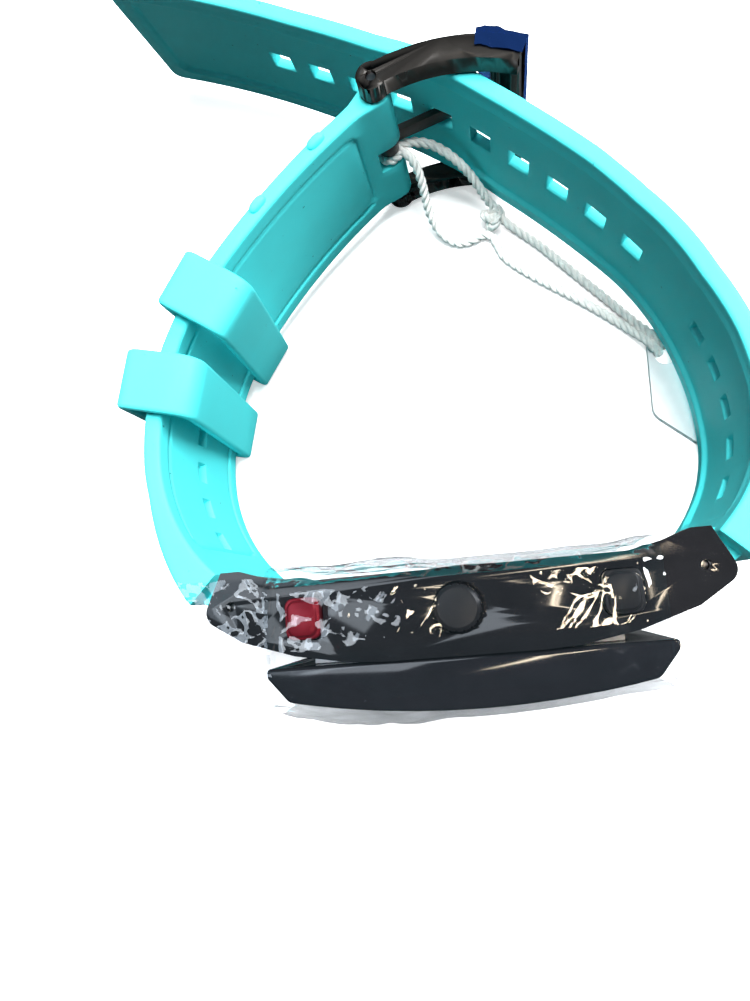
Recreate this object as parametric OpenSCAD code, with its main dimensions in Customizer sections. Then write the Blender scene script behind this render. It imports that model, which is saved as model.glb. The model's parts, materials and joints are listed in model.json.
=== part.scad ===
// Rugged wrist tracker on a silicone strap, lying on its side with the strap buckled.
// Millimetres. +X runs along the case from lug to lug, +Y from the case to the buckle, +Z is up.
// The origin is between the two spring bars, on the side face that the case rests on.

/* [Case] */
// Width of the case, from one side face to the other
case_w = 28; // [27.8:0.1:28.4]
// Distance from the middle of the case to each spring bar
bar_x = 23.5; // [23.4:0.05:23.6]
// Radius of the long curve of the cover glass
glass_r = 95; // [93:1:98]

/* [Strap] */
// Thickness of both straps away from the lugs
strap_t = 2; // [1.8:0.1:2.1]
// Extra thickness of each strap where it meets its lugs
root_extra = 2.3; // [2:0.1:2.4]
// Strap width at the lugs
strap_w_lug = 26; // [25.5:0.1:26]
// Strap width at the buckle
strap_w_tip = 20.6; // [20:0.1:20.6]
// Distance between adjustment holes
hole_pitch = 5.95; // [5.85:0.05:6]
// Side of each square adjustment hole
hole_side = 3.1; // [3:0.1:3.2]
// Number of adjustment holes
hole_count = 10; // [7:1:10]

/* [Keepers] */
// Outer height of each keeper, square to the strap
keeper_h = 9.2; // [9:0.1:9.6]
// Length of each keeper along the strap
keeper_len = 6.9; // [6.5:0.1:7]
// Wall thickness of each keeper
keeper_wall = 1.4; // [1.2:0.05:1.4]

/* [Buckle] */
// Thickness of each buckle arm, across the strap
arm_t = 2.3; // [2:0.1:2.3]
// Height of each buckle arm
arm_h = 2.9; // [2.6:0.1:3]
// Radius that the arms arch over
arm_r = 22;
// Thickness of the tongue
tongue_t = 0.9; // [0.8:0.05:0.9]
// Width of the tongue
tongue_w = 2; // [1.8:0.1:2.1]

/* [String and tag] */
// Diameter of the cotton string
string_d = 1.25; // [1.1:0.05:1.3]
// Width of the swing tag
tag_w = 15.6; // [14:0.2:16]
// Length of the swing tag behind its hole
tag_len = 22; // [18:1:22]

/* [Hidden] */
$fn = 48;

silicone = "turquoise";
shell_black = [0.07, 0.07, 0.08];
metal_black = [0.16, 0.15, 0.14];
steel = [0.75, 0.75, 0.78];
clear = [0.9, 0.95, 1, 0.3];
cotton = [0.93, 0.92, 0.9];

mid_z = case_w / 2;
gap = 0.05;             // running gap of shafts and pins
wall_z = 3.4;           // side wall of the mid case
tier_y = -6.7;          // where the mid case meets the bezel
top_y = 2;              // back face of the mid case
bezel_half = 20.5;
glass_low = -12;        // lowest point of the cover glass

// ---------- helpers ----------

module slab(z0, z1) {
    translate([0, 0, z0]) linear_extrude(z1 - z0) children();
}

module box(low, high) {
    translate(low) cube(high - low);
}

module both_sides() {
    children();
    mirror([1, 0, 0]) children();
}

function arc(c, r, a0, a1, n) =
    [for (i = [0:n]) let (a = a0 + (a1 - a0) * i / n) [c[0] + r * cos(a), c[1] + r * sin(a)]];

function unit(v) = v / norm(v);

function mirrored(pts) = [for (i = [len(pts) - 1:-1:0]) [-pts[i][0], pts[i][1]]];

// Rounded rectangle with one radius for the two low corners and one for the two high corners
function round_rect(x0, y0, x1, y1, r_low, r_high) = concat(
    arc([x1 - r_low, y0 + r_low], r_low, -90, 0, 6),
    arc([x1 - r_high, y1 - r_high], r_high, 0, 90, 6),
    arc([x0 + r_high, y1 - r_high], r_high, 90, 180, 6),
    arc([x0 + r_low, y0 + r_low], r_low, 180, 270, 6));

// A path is a list of [radius, turn] arcs. Each point is [x, y, heading, distance].
function arc_steps(p, radius, turn, n) =
    let (c = [p[0] - radius * sin(p[2]), p[1] + radius * cos(p[2])])
    [for (i = [1:n]) let (h = p[2] + turn * i / n)
        [c[0] + radius * sin(h), c[1] - radius * cos(h), h, p[3] + radius * turn * i / n * PI / 180]];

function walk(p, arcs, i = 0) =
    i == len(arcs) ? [] :
    let (steps = arc_steps(p, arcs[i][0], arcs[i][1], ceil(arcs[i][1] / 2.2)))
    concat(steps, walk(steps[len(steps) - 1], arcs, i + 1));

function at_distance(path, s, i = 1) =
    (path[i][3] >= s || i == len(path) - 1) ?
        let (t = (s - path[i - 1][3]) / (path[i][3] - path[i - 1][3]))
        path[i - 1] * (1 - t) + path[i] * t
    : at_distance(path, s, i + 1);

function thickness(s) = strap_t + root_extra * pow(max(0, 1 - s / 11), 1.3);

function outer_of(p) = [p[0] + thickness(p[3]) * sin(p[2]), p[1] - thickness(p[3]) * cos(p[2])];

// Closed strap outline: inner face out, outer face back, and the flat that butts on the lugs
function strap_outline(path) = concat(
    [[24.85, 3.5]],
    [for (p = path) [p[0], p[1]]],
    [for (i = [len(path) - 1:-1:0]) outer_of(path[i])],
    [[27.6, 0.05], [26.6, 0.05]]);

// ---------- strap paths: inner faces, from the lug towards the buckle ----------

root_point = [12.4 + 19 * cos(45), 17 - 19 * sin(45), 45, 0];
tail_path = concat([root_point], walk(root_point, [[19, 45], [36.5, 41], [152, 27.5]]));

// The buckle strap is worked out on the same side as the tail strap and mirrored when drawn
short_arc_r = 31.7;
short_arc_c = [31.4 - short_arc_r, 17.5];
short_root = [12.4 + 19 * cos(45), 17.5 - 19 * sin(45), 45, 0];
short_path = concat([short_root], walk(short_root, [[19, 45], [short_arc_r, 38], [89.5, 18.7]]));
short_end = short_path[len(short_path) - 1];
barrel_r = 1.75;
barrel_in = 1.05;       // depth of the pin's centre below the inner face
pin_point = [-short_end[0] - barrel_in * sin(short_end[2]), short_end[1] - barrel_in * cos(short_end[2])];

function strap_half_w(y) =
    (strap_w_lug + (strap_w_tip - strap_w_lug) * min(1, max(0, (y - 5) / 50))) / 2;

// Keeps what lies inside the tapering width of the strap
module taper() {
    half = [strap_half_w(0), strap_half_w(5), strap_half_w(60)];
    intersection() {
        children();
        translate([60, 0, mid_z]) rotate([0, -90, 0]) linear_extrude(120) polygon([
            [-half[0], -5], [-half[1], 5], [-half[2], 55], [-half[2], 95],
            [half[2], 95], [half[2], 55], [half[1], 5], [half[0], -5]]);
    }
}

// What a rounded corner of radius r takes off each edge of a strap end
module end_corners(p, r) {
    half = strap_half_w(p[1]);
    for (s = [-1, 1]) translate([p[0], p[1], mid_z + s * (half - r)]) rotate(p[2])
        translate([-r, 0, 0]) rotate([90, 0, 0]) linear_extrude(10, center = true) difference() {
            translate([0, s > 0 ? 0 : -r - 1]) square([r + 1, r + 1]);
            circle(r = r);
        }
}

// ---------- case outlines ----------

lug_tip = arc([24.7, -0.5], 1.5, 30, -60, 6);
case_right = concat([[0, top_y], [16.5, top_y], [20, 2.7], [22.5, 3.6], [24.4, 3.6]], lug_tip,
    [[22.5, -3.7], [17, -5.5], [11.5, -6.5], [8, tier_y], [0, tier_y]]);

module case_outline() {
    polygon(concat(case_right, mirrored(case_right)));
}

glass_c = [0, glass_low + glass_r];

// Band between two curves that share the glass's centre, cut at half width hx
module glass_band(hx, r_out, r_in) {
    a_out = asin(hx / r_out);
    a_in = asin(hx / r_in);
    polygon(concat(arc(glass_c, r_out, -90 - a_out, -90 + a_out, 24),
        arc(glass_c, r_in, -90 + a_in, -90 - a_in, 24)));
}

bezel_end = asin((bezel_half - 2.2) / glass_r);

module bezel_outline() {
    polygon(concat([[-bezel_half, tier_y + 2.3], [-bezel_half, -7.6]],
        arc(glass_c, glass_r, -90 - bezel_end, -90 + bezel_end, 30),
        [[bezel_half, -7.6], [bezel_half, tier_y + 2.3]]));
}

// ---------- case ----------

button_x = 15.6;
button_y = -1.8;
crown_y = -2;
stem_r = 0.8;
shaft_r = 0.7;
tube_r = 1.4;
near = case_w;
inner_z = near - wall_z;
pocket_floor = near - 2;
screw_x = 18.6;
screw_z = [3.2, near - 3.2];
lug_z = [4, near - 4];
tip_r = 0.45;

module button_outline(grow) {
    polygon(round_rect(-1.8 - grow, -2.1 - grow, 1.8 + grow, 2.1 + grow, 0.9, 0.9));
}

module mid_case() {
    color(shell_black) difference() {
        slab(0, near) case_outline();
        // slots for the ends of the straps
        both_sides() box([20.6, -8, lug_z[0]], [30, 8, lug_z[1]]);
        // spring bar holes
        both_sides() translate([bar_x, 0, -1]) cylinder(r = tip_r + gap, h = near + 2);
        // cavity, seat of the back cover and groove of its seal
        box([-16, tier_y - 1, wall_z], [16, top_y, inner_z]);
        box([-19.7, 0.8, 1.7], [19.7, 6, near - 1.7]);
        difference() {
            box([-17.4, 0.5, 2.5], [17.4, 2, near - 2.5]);
            box([-16.8, 0, 3.1], [16.8, 3, near - 3.1]);
        }
        // room behind the buttons
        box([-17.6, -3.9, 18], [17.6, 0.1, inner_z]);
        for (sx = [-1, 1]) {
            translate([sx * button_x, button_y, pocket_floor]) linear_extrude(5) button_outline(0.1);
            translate([sx * button_x, button_y, 20]) cylinder(r = stem_r + gap, h = 10);
            translate([sx * button_x, button_y, inner_z - 0.5]) cylinder(r = 1.5, h = 1.4);
        }
        // crown recess and the bore of its tube
        translate([0, crown_y, near - 0.8]) cylinder(r = 2.6, h = 5);
        translate([0, crown_y, 20]) cylinder(r = tube_r, h = 10);
        // screw holes
        for (sx = [-1, 1], z = screw_z)
            translate([sx * screw_x, 3, z]) rotate([90, 0, 0]) cylinder(r = 0.52, h = 5);
    }
}

module bezel() {
    color(shell_black) difference() {
        slab(1, near - 1) difference() {
            bezel_outline();
            translate([-30, tier_y]) square([60, 10]);
        }
        box([-15.9, -20, 4.6], [15.9, 0, near - 4.6]);
        slab(3.5, near - 3.5) glass_band(17, glass_r + 2, glass_r - 1.3);
    }
}

module cover_glass() {
    color(clear) slab(3.6, near - 3.6) glass_band(16.9, glass_r, glass_r - 1.1);
}

module display_seal() {
    color("dimgray") difference() {
        slab(3.7, near - 3.7) glass_band(16.8, glass_r - 1.13, glass_r - 1.27);
        box([-15.9, -20, 4.6], [15.9, 0, near - 4.6]);
    }
}

module display_panel() {
    color([0.02, 0.02, 0.03]) slab(4.9, near - 4.9) glass_band(15.6, glass_r - 1.4, glass_r - 2.2);
}

module inner_frame() {
    color("gray") difference() {
        box([-15.8, -6.6, 3.6], [15.8, -5.9, inner_z - 0.2]);
        box([-13, -7, 6], [13, -5, 22]);
    }
}

board_top = -5;

module main_board() {
    color("darkgreen") box([-15.5, board_top - 0.8, 3.8], [15.5, board_top, inner_z - 0.4]);
}

module board_chips() {
    color([0.12, 0.12, 0.13]) {
        box([-13, board_top, 6], [-8.5, board_top + 0.8, 10.5]);
        box([-6.5, board_top, 6.5], [-3.5, board_top + 0.6, 9.5]);
        for (i = [0:3]) box([-13 + i * 2.6, board_top, 13], [-11.6 + i * 2.6, board_top + 0.5, 13.8]);
    }
}

module shield_can() {
    color(steel) box([-1, board_top, 5], [14, board_top + 1.2, 17]);
}

module battery() {
    color("lightsteelblue") slab(4.2, 17.8) polygon(round_rect(-14.5, -3.6, 9, -0.7, 0.6, 0.6));
}

motor_y = -2.1;
motor_z = 11;

module along_x(x0, length) {
    translate([x0, motor_y, motor_z]) rotate([0, 90, 0]) linear_extrude(length) children();
}

module motor_can() {
    color(steel) along_x(9.5, 3.2) difference() {
        circle(r = 1.5);
        circle(r = 0.35);
    }
}

module motor_shaft() {
    color(steel) along_x(9.6, 5.6) circle(r = 0.3);
}

module motor_weight() {
    color("goldenrod") along_x(13, 2) difference() {
        circle(r = 1.35);
        circle(r = 0.3);
        translate([0.35, -2]) square([4, 4]);
    }
}

switch_top = 19.5;

module switch_board() {
    color("darkorange") box([-17.2, -3.6, 18.1], [17.2, -0.4, 18.4]);
}

module switch_bodies() {
    color(steel) for (x = [-button_x, 0, button_x])
        translate([x, x == 0 ? crown_y : button_y, 18.4]) difference() {
            translate([-1.4, -1.4, 0]) cube([2.8, 2.8, switch_top - 18.4]);
            translate([0, 0, 0.1]) cylinder(r = 0.55, h = 3);
        }
}

module back_seal() {
    color([0.1, 0.1, 0.1]) difference() {
        box([-17.35, 0.52, 2.55], [17.35, 0.8, near - 2.55]);
        box([-16.85, 0, 3.05], [16.85, 3, near - 3.05]);
    }
}

window_r = 5.5;
pin_x = -12;
pin_z = [8, 12, 16, 20];

module across_y(x, y0, y1, z, r) {
    translate([x, y1, z]) rotate([90, 0, 0]) cylinder(r = r, h = y1 - y0);
}

module back_cover() {
    color(shell_black) difference() {
        box([-19.6, 0.8, 1.8], [19.6, top_y, near - 1.8]);
        across_y(0, 0, 3, mid_z, 4.8);
        across_y(0, 1.4, 3, mid_z, window_r + gap);
        for (z = pin_z) across_y(pin_x, 0, 3, z, 0.62);
        for (sx = [-1, 1], z = screw_z) {
            across_y(sx * screw_x, 0, 3, z, 0.56);
            across_y(sx * screw_x, 1.3, 3, z, 0.96);
        }
    }
}

module back_screws() {
    color(steel) for (sx = [-1, 1], z = screw_z) difference() {
        union() {
            across_y(sx * screw_x, 1.3, 1.9, z, 0.9);
            across_y(sx * screw_x, -1.8, 1.3, z, 0.5);
        }
        translate([sx * screw_x, 1.9, z]) cube([1.3, 0.5, 0.3], center = true);
        translate([sx * screw_x, 1.9, z]) cube([0.3, 0.5, 1.3], center = true);
    }
}

module sensor_board() {
    color("darkgreen") box([-6, -0.4, 9], [6, 0.1, 17.9]);
}

led_spots = [[-2.6, 0], [2.6, 0], [0, 2.6], [0, -2.6]];

module sensor_leds() {
    color("palegreen") {
        for (p = led_spots) translate([p[0] - 0.5, 0.1, mid_z + p[1] - 0.5]) cube([1, 0.4, 1]);
        translate([-0.8, 0.1, mid_z - 0.8]) cube([1.6, 0.35, 1.6]);
    }
}

module light_baffle() {
    color([0.05, 0.05, 0.05]) difference() {
        across_y(0, 0.6, 1.35, mid_z, 4.7);
        for (p = led_spots) across_y(p[0], 0, 2, mid_z + p[1], 0.9);
        across_y(0, 0, 2, mid_z, 1.2);
    }
}

module sensor_window() {
    color([0.1, 0.02, 0.03]) translate([0, 1.4, mid_z]) rotate([-90, 0, 0]) rotate_extrude()
        polygon([[0, 0], [window_r, 0], [window_r, 0.7], [window_r - 0.5, 1.1], [0, 1.4]]);
}

module charging_pins() {
    color("gold") for (z = pin_z) across_y(pin_x, 0.4, top_y + 0.05, z, 0.58);
}

// ---------- buttons and crown ----------

stem_end = 20.28;
cap_z = near - 0.4;

module button(sx, tint) {
    color(tint) translate([sx * button_x, button_y, 0]) {
        translate([0, 0, cap_z]) linear_extrude(1.6) button_outline(0);
        translate([0, 0, cap_z + 1.6]) linear_extrude(0.35) button_outline(-0.35);
        translate([0, 0, stem_end]) cylinder(r = stem_r, h = cap_z - stem_end);
    }
}

module ring_at(x, y, z0, z1, r_out, r_in) {
    translate([x, y, z0]) difference() {
        cylinder(r = r_out, h = z1 - z0);
        translate([0, 0, -1]) cylinder(r = r_in, h = z1 - z0 + 2);
    }
}

// Retaining clip, snapped on the stem inside the wall
module stem_clip(x, y, z0, r_in) {
    color(steel) ring_at(x, y, z0, z0 + 0.3, r_in + 1, r_in);
}

module plunger(x, y) {
    color("white") translate([x, y, switch_top - 0.3]) cylinder(r = 0.5, h = stem_end - switch_top + 0.3);
}

module o_ring(x, y, z, r_major, r_minor) {
    color([0.08, 0.08, 0.08]) translate([x, y, z]) rotate_extrude()
        translate([r_major, 0]) circle(r = r_minor, $fn = 24);
}

// Coil of round wire, swept along a helix
function coil_ring(a, z, r, wire) = [for (k = [0:5])
    [(r + wire * cos(60 * k)) * cos(a), (r + wire * cos(60 * k)) * sin(a), z + wire * sin(60 * k)]];

module coil(x, y, z0, z1, r, wire, turns) {
    steps = turns * 14;
    pts = [for (i = [0:steps]) each
        coil_ring(360 * turns * i / steps, z0 + wire + (z1 - z0 - 2 * wire) * i / steps, r, wire)];
    sides = [for (i = [0:steps - 1], k = [0:5])
        [6 * i + k, 6 * i + (k + 1) % 6, 6 * i + 6 + (k + 1) % 6, 6 * i + 6 + k]];
    last = 6 * steps;
    color(steel) translate([x, y, 0])
        polyhedron(pts, concat([[5, 4, 3, 2, 1, 0]], sides, [[for (k = [0:5]) last + k]]));
}

module button_spring(sx) {
    coil(sx * button_x, button_y, pocket_floor + 0.02, cap_z - 0.02, 1.2, 0.12, 2);
}

module crown_knob() {
    color(shell_black) translate([0, crown_y, near + 0.4]) difference() {
        union() {
            cylinder(r = 2.3, h = 1.8);
            translate([0, 0, 1.8]) cylinder(r1 = 2.3, r2 = 1.9, h = 0.3, $fn = 48);
        }
        for (a = [0:20:340]) rotate(a) translate([2.35, 0, -1]) cylinder(r = 0.16, h = 4, $fn = 16);
        translate([0, 0, -1]) cylinder(r = shaft_r, h = 2.2);
    }
}

module crown_shaft() {
    color(steel) translate([0, crown_y, 20.8]) cylinder(r = shaft_r, h = near + 1.6 - 20.8);
}

module crown_tube() {
    color(steel) {
        ring_at(0, crown_y, inner_z, near - 1.9, tube_r, shaft_r + gap);
        ring_at(0, crown_y, near - 1.9, near - 0.8, tube_r, 1.15);
    }
}

module crown_slider() {
    color("white") box([-1.3, crown_y - 1.3, stem_end], [1.3, crown_y + 1.3, stem_end + 0.5]);
}

// ---------- spring bars, straps and keepers ----------

bar_r = 0.85;

module bar_tubes() {
    color(steel) both_sides() ring_at(bar_x, 0, 4.3, near - 4.3, bar_r, 0.5);
}

module bar_tips() {
    color(steel) both_sides() for (z = [1.2, near - 7.2]) translate([bar_x, 0, z]) cylinder(r = tip_r, h = 6);
}

module root_tang() {
    slab(4.25, near - 4.25) difference() {
        union() {
            translate([bar_x, 0]) circle(r = 2.4);
            polygon([[bar_x, 2.4], [bar_x, -2.3], [27, 0.1], [28.5, 0.8], [26.3, 3.6], [25, 3.5]]);
        }
        translate([bar_x, 0]) circle(r = bar_r + gap);
    }
}

hole_near_tongue = 67.9;
first_hole = hole_near_tongue - 5 * hole_pitch;
tail_end = tail_path[len(tail_path) - 1];

// A square hole through the strap at distance s along its inner face
module strap_hole(path, s, along, across) {
    p = at_distance(path, s);
    translate([p[0], p[1], mid_z]) rotate(p[2])
        translate([-along / 2, -8, -across / 2]) cube([along, 9, across]);
}

module vent_pocket(path, s, side, depth) {
    p = at_distance(path, s);
    translate([p[0], p[1], mid_z]) rotate(p[2])
        translate([-side / 2, -depth, -side / 2]) cube([side, depth + 1, side]);
}

module tail_strap() {
    color(silicone) {
        difference() {
            taper() slab(0, near) polygon(strap_outline(tail_path));
            end_corners(tail_end, 1.8);
            for (k = [0:hole_count - 1])
                strap_hole(tail_path, first_hole + k * hole_pitch, hole_side, hole_side);
            for (k = [0:4]) vent_pocket(tail_path, 6.5 + 4.62 * k, 2, 1.2);
            // the lugs' room
            for (z = [-1, lug_z[1] - 0.25]) box([20, -5, z], [26.4, 3.7, z + 5.25]);
        }
        root_tang();
    }
}

nub_spots = [46.5, 56.3];

module nub(s) {
    p = at_distance(short_path, s);
    half = strap_half_w(p[1]) + 0.8;
    translate([p[0], p[1], mid_z]) rotate(p[2]) translate([-0.9, -strap_t, -half]) cube([1.8, 1.2, 2 * half]);
}

slot_in = 2.4;          // how far the slot runs in past the pin

module buckle_strap() {
    color(silicone) mirror([1, 0, 0]) difference() {
        union() {
            difference() {
                taper() slab(0, near) polygon(strap_outline(short_path));
                for (k = [0:4]) vent_pocket(short_path, 5.6 + 4.65 * k, 2, 1.2);
                for (z = [-1, lug_z[1] - 0.25]) box([20, -5, z], [26.4, 3.7, z + 5.25]);
            }
            root_tang();
            for (s = nub_spots) nub(s);
            slab(mid_z - strap_w_tip / 2, mid_z + strap_w_tip / 2)
                translate([-pin_point[0], pin_point[1]]) circle(r = barrel_r);
        }
        // bore for the buckle pin and slot for the tongue
        translate([-pin_point[0], pin_point[1], -1]) cylinder(r = pin_r + gap, h = 40);
        translate([-pin_point[0], pin_point[1], mid_z]) rotate(short_end[2])
            translate([-slot_in, -5, -2.4]) cube([9, 10, 4]);
    }
}

keeper_c = [-short_arc_c[0], short_arc_c[1]];
keeper_gap = 0.15;

// Corner at p between neighbours a and b, rounded off over the distance d
function soft_corner(a, p, b, d) =
    let (u = unit(a - p), v = unit(b - p))
    [for (i = [0:5]) let (t = i / 5) p + d * (pow(1 - t, 2) * u + t * t * v)];

// Closed outline with each corner of pts rounded off over its own distance
function soft_outline(pts, d) = let (n = len(pts))
    [for (i = [0:n - 1]) each soft_corner(pts[(i + n - 1) % n], pts[i], pts[(i + 1) % n], d[i])];

// A keeper's own x is outwards and its y is up. It is h_far deep at the side that the case rests on.
module keeper(angle, lift, h_far) {
    outer = short_arc_r + strap_t + keeper_gap + lift + keeper_wall;
    w = keeper_wall;
    color(silicone) translate([keeper_c[0], keeper_c[1], 0]) rotate(180 - angle) rotate([90, 0, 0])
        translate([0, 0, -keeper_len / 2]) linear_extrude(keeper_len) difference() {
            polygon(soft_outline([[outer - h_far, 0], [outer, 0], [outer, case_w], [outer - keeper_h, case_w]],
                [1.6, 1.6, 1.6, 3.5]));
            polygon(soft_outline([[outer - h_far + w, w], [outer - w, w], [outer - w, case_w - w],
                [outer - keeper_h + w, case_w - w]], [0.6, 0.6, 0.6, 2.4]));
        }
}

module keeper_upper() {
    keeper(35, 0, 5.1);
}

module keeper_lower() {
    keeper(14.4, 1.3, 6.7);
}

// ---------- buckle ----------

pin_r = 0.6;
arm_gap = 0.3;
arm_far = mid_z - strap_w_tip / 2 - arm_gap - arm_t;
arm_near = mid_z + strap_w_tip / 2 + arm_gap;
arch_x = 3.9;
arch_c = [arch_x, pin_point[1] - sqrt(arm_r * arm_r - pow(arch_x - pin_point[0], 2))];
pivot_a = atan2(pin_point[1] - arch_c[1], pin_point[0] - arch_c[0]);
bar_a0 = 66;
bar_a1 = 75;

module arch_band(a0, a1, r_low, r_high) {
    polygon(concat(arc(arch_c, r_high, a0, a1, 16), arc(arch_c, r_low, a1, a0, 16)));
}

module buckle_frame() {
    color(metal_black) difference() {
        union() {
            for (z = [arm_far, arm_near]) slab(z, z + arm_t) {
                arch_band(bar_a0, pivot_a, arm_r - arm_h / 2, arm_r + arm_h / 2);
                translate(pin_point) circle(r = 1.75);
            }
            slab(arm_far, arm_near + arm_t) arch_band(bar_a0, bar_a1, arm_r - 0.8, arm_r + arm_h / 2);
        }
        translate([pin_point[0], pin_point[1], -1]) cylinder(r = pin_r + gap, h = 40);
    }
}

module buckle_film() {
    color("midnightblue") slab(mid_z + 2, arm_near + arm_t)
        arch_band(bar_a0, bar_a1 + 4, arm_r + arm_h / 2 + 0.02, arm_r + arm_h / 2 + 0.14);
}

module buckle_pin() {
    color(steel) translate([pin_point[0], pin_point[1], arm_far + 0.3])
        cylinder(r = pin_r, h = arm_near + arm_t - arm_far - 0.6);
}

tongue_start = 15;
tongue_straight = 8.5;
tongue_bend_r = 12;
tongue_turn = 40;
tongue_out = 0.85;      // the tongue's middle line passes this far outside the pin's centre

// Edge of the tongue at a distance side from its middle line, after the straight stretch
function tongue_arc(side) = [for (i = [0:10]) let (h = tongue_start - tongue_turn * i / 10)
    [tongue_bend_r * (sin(tongue_start) - sin(h)) + tongue_straight * cos(tongue_start) - side * sin(h),
     tongue_bend_r * (cos(h) - cos(tongue_start)) + tongue_straight * sin(tongue_start) + side * cos(h)]];

module buckle_tongue() {
    half = tongue_t / 2;
    out = [-sin(tongue_start), cos(tongue_start)];
    color(metal_black) translate([pin_point[0], pin_point[1], mid_z - tongue_w / 2]) difference() {
        union() {
            cylinder(r = 1.3, h = tongue_w);
            translate(tongue_out * out) linear_extrude(tongue_w) polygon(concat([half * out],
                tongue_arc(half), [for (i = [10:-1:0]) tongue_arc(-half)[i]], [-half * out]));
        }
        translate([0, 0, -1]) cylinder(r = pin_r + gap, h = tongue_w + 2);
    }
}

// ---------- protective film ----------

film_t = 0.12;
film_off = 0.3;
film_rise = 2.9;        // how far the film stands off the near side, over the crown

module film_outline(off, hx) {
    a = asin(hx / (glass_r + off));
    polygon(concat(arc(glass_c, glass_r + off, -90 - a, -90 + a, 30),
        [[hx, 3.1 + off], [-hx, 3.1 + off]]));
}

// Solid that the film wraps: it hugs the front and the back and rises over the crown and buttons
module film_form(z0, off, hx) {
    lift = off - film_off;
    intersection() {
        slab(z0, near + 5) film_outline(off, hx);
        rotate([90, 0, 90]) linear_extrude(2 * hx, center = true) polygon([[-14, 0], [-14, near + 0.3 + lift],
            [-10, near + 0.5 + lift], [-4.9, near + film_rise - film_t + lift],
            [0.8, near + film_rise - film_t + lift], [3.4, near + 0.5 + lift], [5, near + 0.3 + lift], [5, 0]]);
    }
}

module case_film() {
    color(clear) difference() {
        film_form(0.6, film_off + film_t, 19.2);
        film_form(0, film_off, 19.4);
    }
}

module film_flap_left() {
    color(clear) slab(near + 0.25, near + 0.25 + film_t)
        polygon([[-19.3, 2.4], [-26.5, 2.6], [-31, 3.5], [-29.6, 0.6], [-30.4, -1.8], [-26.3, -4.2],
            [-19.3, -7.8]]);
}

module film_flap_right() {
    color(clear) slab(near + 0.25, near + 0.25 + film_t)
        polygon([[19.3, -4.9], [24.6, -2.9], [32.5, -3.4], [33, -6.2], [26, -8.6], [19.3, -10.3]]);
}

module film_flap_top() {
    color(clear) slab(near - 5, near + 0.3) polygon([[-8.4, 3.62], [-7.4, 4.4], [-5.4, 4.5],
        [-3.2, 3.62], [-3.4, 3.55], [-5.4, 4.35], [-7.3, 4.25], [-8.2, 3.55]]);
}

// ---------- string and tag ----------

turn_z = 12.4;

// The string's turn round the buckle pin, beside the tongue
module string_turns() {
    color(cotton) o_ring(pin_point[0], pin_point[1], turn_z, 1.3, 0.55);
}

route_a = [[-2.6, 58, 12.4], [-1.8, 58.3, 12.3], [-0.6, 58.4, 12.1], [0.7, 58.2, 11.8], [1.9, 57.8, 11.4],
    [3, 57.2, 10.9], [4, 56.6, 10.2], [5, 56, 9.2], [6, 55.3, 7.8], [7, 54.4, 6.1], [7.9, 53.5, 4.5],
    [8.7, 52.8, 3.1], [9.4, 52.1, 2], [10.4, 51, 1.2], [12.3, 49.3, 0.7], [14.8, 46.8, 0.7],
    [17.2, 44, 0.7], [19.6, 41.2, 0.7], [22, 38.4, 0.7], [24.2, 35.8, 0.7], [26.2, 33.4, 0.8],
    [27.4, 31.9, 1.4], [28.3, 30.7, 1.7], [29.1, 29.5, 1.1]];
route_b = [[-2.8, 57.4, 12.5], [-2.1, 57.1, 12.4], [-1.4, 56.6, 11.9], [-0.8, 55.9, 10.6], [-0.4, 54.9, 8.7],
    [-0.2, 53.8, 6.5], [0.1, 52.5, 4.3], [0.8, 51.2, 2.4], [2, 50, 1.2], [3.6, 49.2, 0.7], [5.4, 49.2, 0.7],
    [7, 49.7, 0.8], [8.3, 49.3, 0.9], [9, 47.9, 0.8], [9.9, 45.9, 0.7], [12.9, 43, 0.7],
    [16.7, 40, 0.7], [20, 37.4, 0.7], [22.8, 35, 0.7], [25.2, 32.8, 0.8], [26.6, 31.2, 1.4],
    [27.5, 30, 1.7], [28.5, 28.7, 1.1]];

function tube_ring(p, dir, r) =
    let (side = unit(cross(dir, abs(dir[2]) > 0.9 ? [1, 0, 0] : [0, 0, 1])), up = cross(side, dir))
    [for (k = [0:7]) p + r * (cos(45 * k + 22.5) * side + sin(45 * k + 22.5) * up)];

module tube(route, r) {
    n = len(route);
    pts = [for (i = [0:n - 1]) each
        tube_ring(route[i], unit(route[min(i + 1, n - 1)] - route[max(i - 1, 0)]), r)];
    sides = [for (i = [0:n - 2], k = [0:7])
        [8 * i + k, 8 * i + (k + 1) % 8, 8 * i + 8 + (k + 1) % 8, 8 * i + 8 + k]];
    polyhedron(pts, concat([[for (k = [7:-1:0]) k]], sides, [[for (k = [0:7]) 8 * (n - 1) + k]]));
}

module string_a() {
    color(cotton) tube(route_a, string_d / 2);
}

module string_b() {
    color(cotton) tube(route_b, string_d / 2);
}

knot_p = [8.7, 51.6, 1.75];

module string_knot() {
    color(cotton) translate(knot_p) rotate(-40) scale([1, 1, 0.85]) sphere(r = 1.95, $fn = 20);
}

tag_hole = [29.2, 28.9];
tag_t = 0.8;

module hang_tag() {
    color("whitesmoke") slab(0, tag_t) translate(tag_hole) rotate(-42) difference() {
        polygon(soft_outline([[-2.9, 0], [3.5, -tag_w / 2], [tag_len, -tag_w / 2], [tag_len, tag_w / 2],
            [3.5, tag_w / 2]], [0.8, 1, 1, 1, 1]));
        circle(r = 1.4);
    }
}

// ---------- one line for each sub-part ----------

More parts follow.
